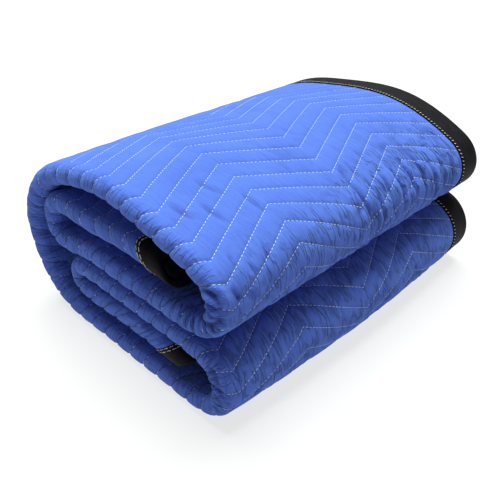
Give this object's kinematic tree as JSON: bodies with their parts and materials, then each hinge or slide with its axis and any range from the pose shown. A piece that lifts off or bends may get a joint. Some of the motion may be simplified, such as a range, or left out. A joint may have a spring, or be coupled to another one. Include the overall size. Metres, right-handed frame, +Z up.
{
  "type": "moving blanket",
  "caption": "Quilted moving blanket put away folded: quartered one way, then rolled in from both ends and closed in half, with a bound edge showing at one end",
  "frame": {"origin": "on the floor under the middle of the folded packet", "axes": "+Z up; Y down the packet's length, with the folded ends at -Y and the bound edges at +Y; X over the packet, with the two front folds at +X and the big back fold at -X"},
  "size_m": [0.3686, 0.463, 0.237],
  "materials": {
    "quilt_blue": "brushed royal blue cloth over a thin filling, quilted in zigzag rows",
    "binding_black": "black woven tape, folded round the edge and sewn"
  },
  "bodies": {
    "root": {"quilted_panel": "quilt_blue", "binding_long_outer": "binding_black", "binding_long_inner": "binding_black", "binding_short_upper": "binding_black", "binding_short_lower": "binding_black"}
  },
  "joints": []
}
